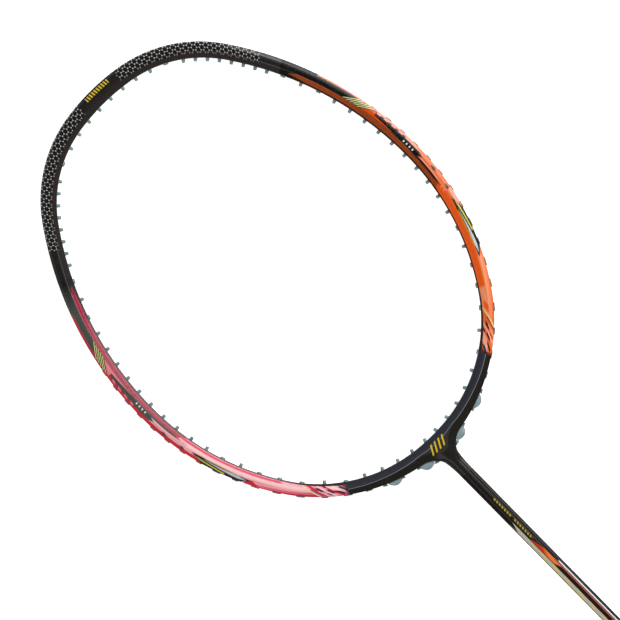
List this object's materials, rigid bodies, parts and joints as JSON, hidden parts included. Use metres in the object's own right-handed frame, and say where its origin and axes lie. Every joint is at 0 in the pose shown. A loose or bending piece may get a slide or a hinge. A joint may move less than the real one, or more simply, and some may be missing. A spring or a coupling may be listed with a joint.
{
  "type": "badminton racket",
  "caption": "Unstrung racket: an oval hollow hoop with lined string holes, a slim round shaft, a cone cap and a taped octagonal handle with a flared butt.",
  "frame": {"origin": "centre of the flat butt end, on the shaft's axis", "axes": "+Y from the butt to the tip, +X across the head, +Z out of the string face; the racket lies flat"},
  "size_m": [0.2022, 0.6756, 0.0274],
  "materials": {
    "hoop_lacquer": "gloss lacquer over carbon laminate, with orange and crimson panels",
    "joint_carbon": "moulded carbon",
    "shaft_lacquer": "gloss lacquer over carbon tube",
    "cap_plastic": "moulded",
    "handle_wood": "sanded",
    "grip_wrap": "synthetic leather with pores",
    "tape_film": "satin tape",
    "plate_metal": "brushed",
    "tack_steel": "bright",
    "grommet_nylon": "translucent moulded nylon"
  },
  "bodies": {
    "root": {"head_frame": "hoop_lacquer", "t_joint": "joint_carbon", "shaft": "shaft_lacquer", "cone_cap": "cap_plastic", "handle_core": "handle_wood", "grip": "grip_wrap", "finishing_tape": "tape_film", "butt_cap": "cap_plastic", "butt_medallion": "plate_metal", "butt_cap_tacks": "tack_steel", "tip_shared_grommets": "grommet_nylon", "shoulder_shared_grommets": "grommet_nylon", "corner_shared_grommets": "grommet_nylon", "tip_grommets_left": "grommet_nylon", "tip_grommets_right": "grommet_nylon", "shoulder_grommets_left": "grommet_nylon", "shoulder_grommets_right": "grommet_nylon", "upper_side_grommets_left": "grommet_nylon", "upper_side_grommets_right": "grommet_nylon", "lower_side_grommets_left": "grommet_nylon", "lower_side_grommets_right": "grommet_nylon", "arm_grommets_left": "grommet_nylon", "arm_grommets_right": "grommet_nylon", "inner_throat_strip_left": "grommet_nylon", "inner_throat_strip_right": "grommet_nylon", "outer_throat_strip_left": "grommet_nylon", "outer_throat_strip_right": "grommet_nylon"}
  },
  "joints": []
}
